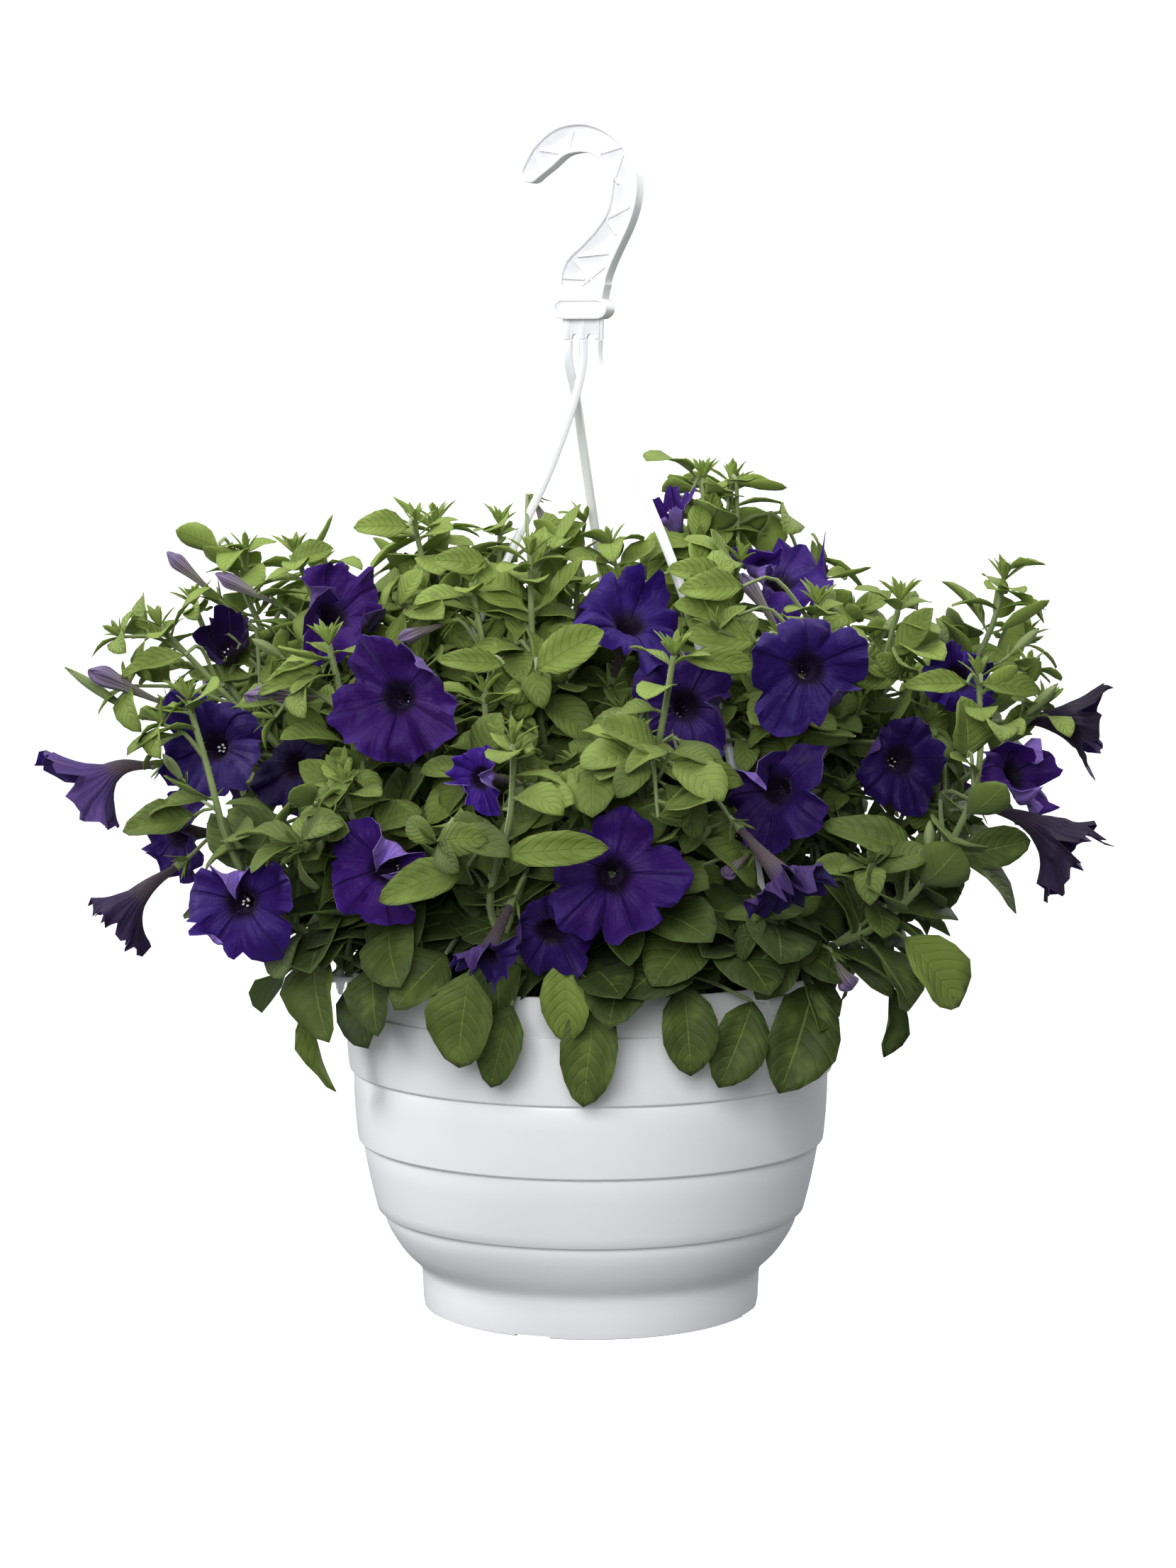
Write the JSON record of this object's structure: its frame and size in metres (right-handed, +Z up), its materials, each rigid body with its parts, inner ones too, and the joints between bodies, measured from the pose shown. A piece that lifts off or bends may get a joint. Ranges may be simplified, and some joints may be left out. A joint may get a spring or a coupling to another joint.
{
  "type": "petunia hanging basket",
  "caption": "Stepped white hanging pot on a moulded hook with straps, filled with soil and a spreading petunia with violet trumpet flowers.",
  "frame": {"origin": "the hook's seat, the top of its inner curve, where it hangs", "axes": "+Z up, -Y towards the front, +X to the right"},
  "size_m": [0.5285, 0.4032, 0.6046],
  "materials": {
    "white_plastic": "semi-gloss moulded polypropylene",
    "soil": "moist peat potting soil",
    "leaf_green": "soft hairy leaves and stems",
    "petal_violet": "velvety violet-blue petals"
  },
  "bodies": {
    "root": {"pot": "white_plastic", "soil": "soil", "hook": "white_plastic", "strap_left": "white_plastic", "strap_rear": "white_plastic", "strap_right": "white_plastic", "shoot_01": "leaf_green", "shoot_02": "leaf_green", "shoot_03": "leaf_green", "shoot_04": "leaf_green", "shoot_05": "leaf_green", "shoot_06": "leaf_green", "shoot_07": "leaf_green", "shoot_08": "leaf_green", "shoot_09": "leaf_green", "shoot_10": "leaf_green", "shoot_11": "leaf_green", "shoot_12": "leaf_green", "shoot_13": "leaf_green", "shoot_14": "leaf_green", "shoot_15": "leaf_green", "shoot_16": "leaf_green", "shoot_17": "leaf_green", "shoot_18": "leaf_green", "shoot_19": "leaf_green", "shoot_20": "leaf_green", "shoot_21": "leaf_green", "shoot_22": "leaf_green", "shoot_23": "leaf_green", "flower_01": "petal_violet", "flower_02": "petal_violet", "flower_03": "petal_violet", "flower_04": "petal_violet", "flower_05": "petal_violet", "flower_06": "petal_violet", "flower_07": "petal_violet", "flower_08": "petal_violet", "flower_09": "petal_violet", "flower_10": "petal_violet", "flower_11": "petal_violet", "flower_12": "petal_violet", "flower_13": "petal_violet", "flower_14": "petal_violet", "flower_15": "petal_violet", "flower_16": "petal_violet", "flower_17": "petal_violet", "flower_18": "petal_violet", "flower_19": "petal_violet", "flower_20": "petal_violet", "flower_21": "petal_violet", "flower_22": "petal_violet", "flower_23": "petal_violet", "flower_24": "petal_violet", "flower_25": "petal_violet", "flower_26": "petal_violet", "flower_27": "petal_violet", "flower_28": "petal_violet", "flower_29": "petal_violet", "flower_30": "petal_violet"}
  },
  "joints": []
}
